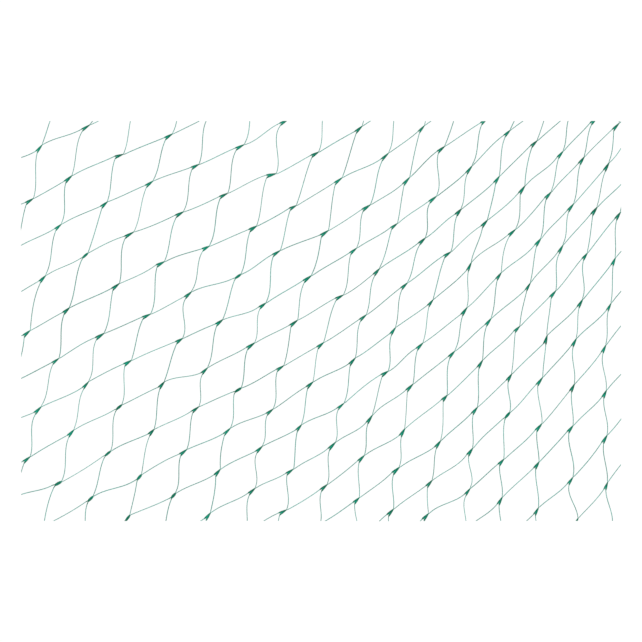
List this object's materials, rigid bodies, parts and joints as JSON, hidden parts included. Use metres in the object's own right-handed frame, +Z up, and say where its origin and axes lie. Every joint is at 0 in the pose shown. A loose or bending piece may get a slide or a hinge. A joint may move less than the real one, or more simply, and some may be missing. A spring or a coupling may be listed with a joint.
{
  "type": "bird netting, a cut length lying flat",
  "caption": "Flat cut length of extruded diamond-mesh bird netting, with thin skewed strands that merge into flat arrow-like joints.",
  "frame": {"origin": "on the surface that the net lies on, under the middle of the cut length", "axes": "+X along the long side of the cut length, the way its shallow strands climb; +Y along the short side, the way its steep strands climb; +Z up from the surface"},
  "size_m": [0.24, 0.16, 0.0047],
  "materials": {
    "net_plastic": "satin dark green polyethylene, a little translucent where it is drawn thin"
  },
  "bodies": {
    "root": {"net": "net_plastic"}
  },
  "joints": []
}
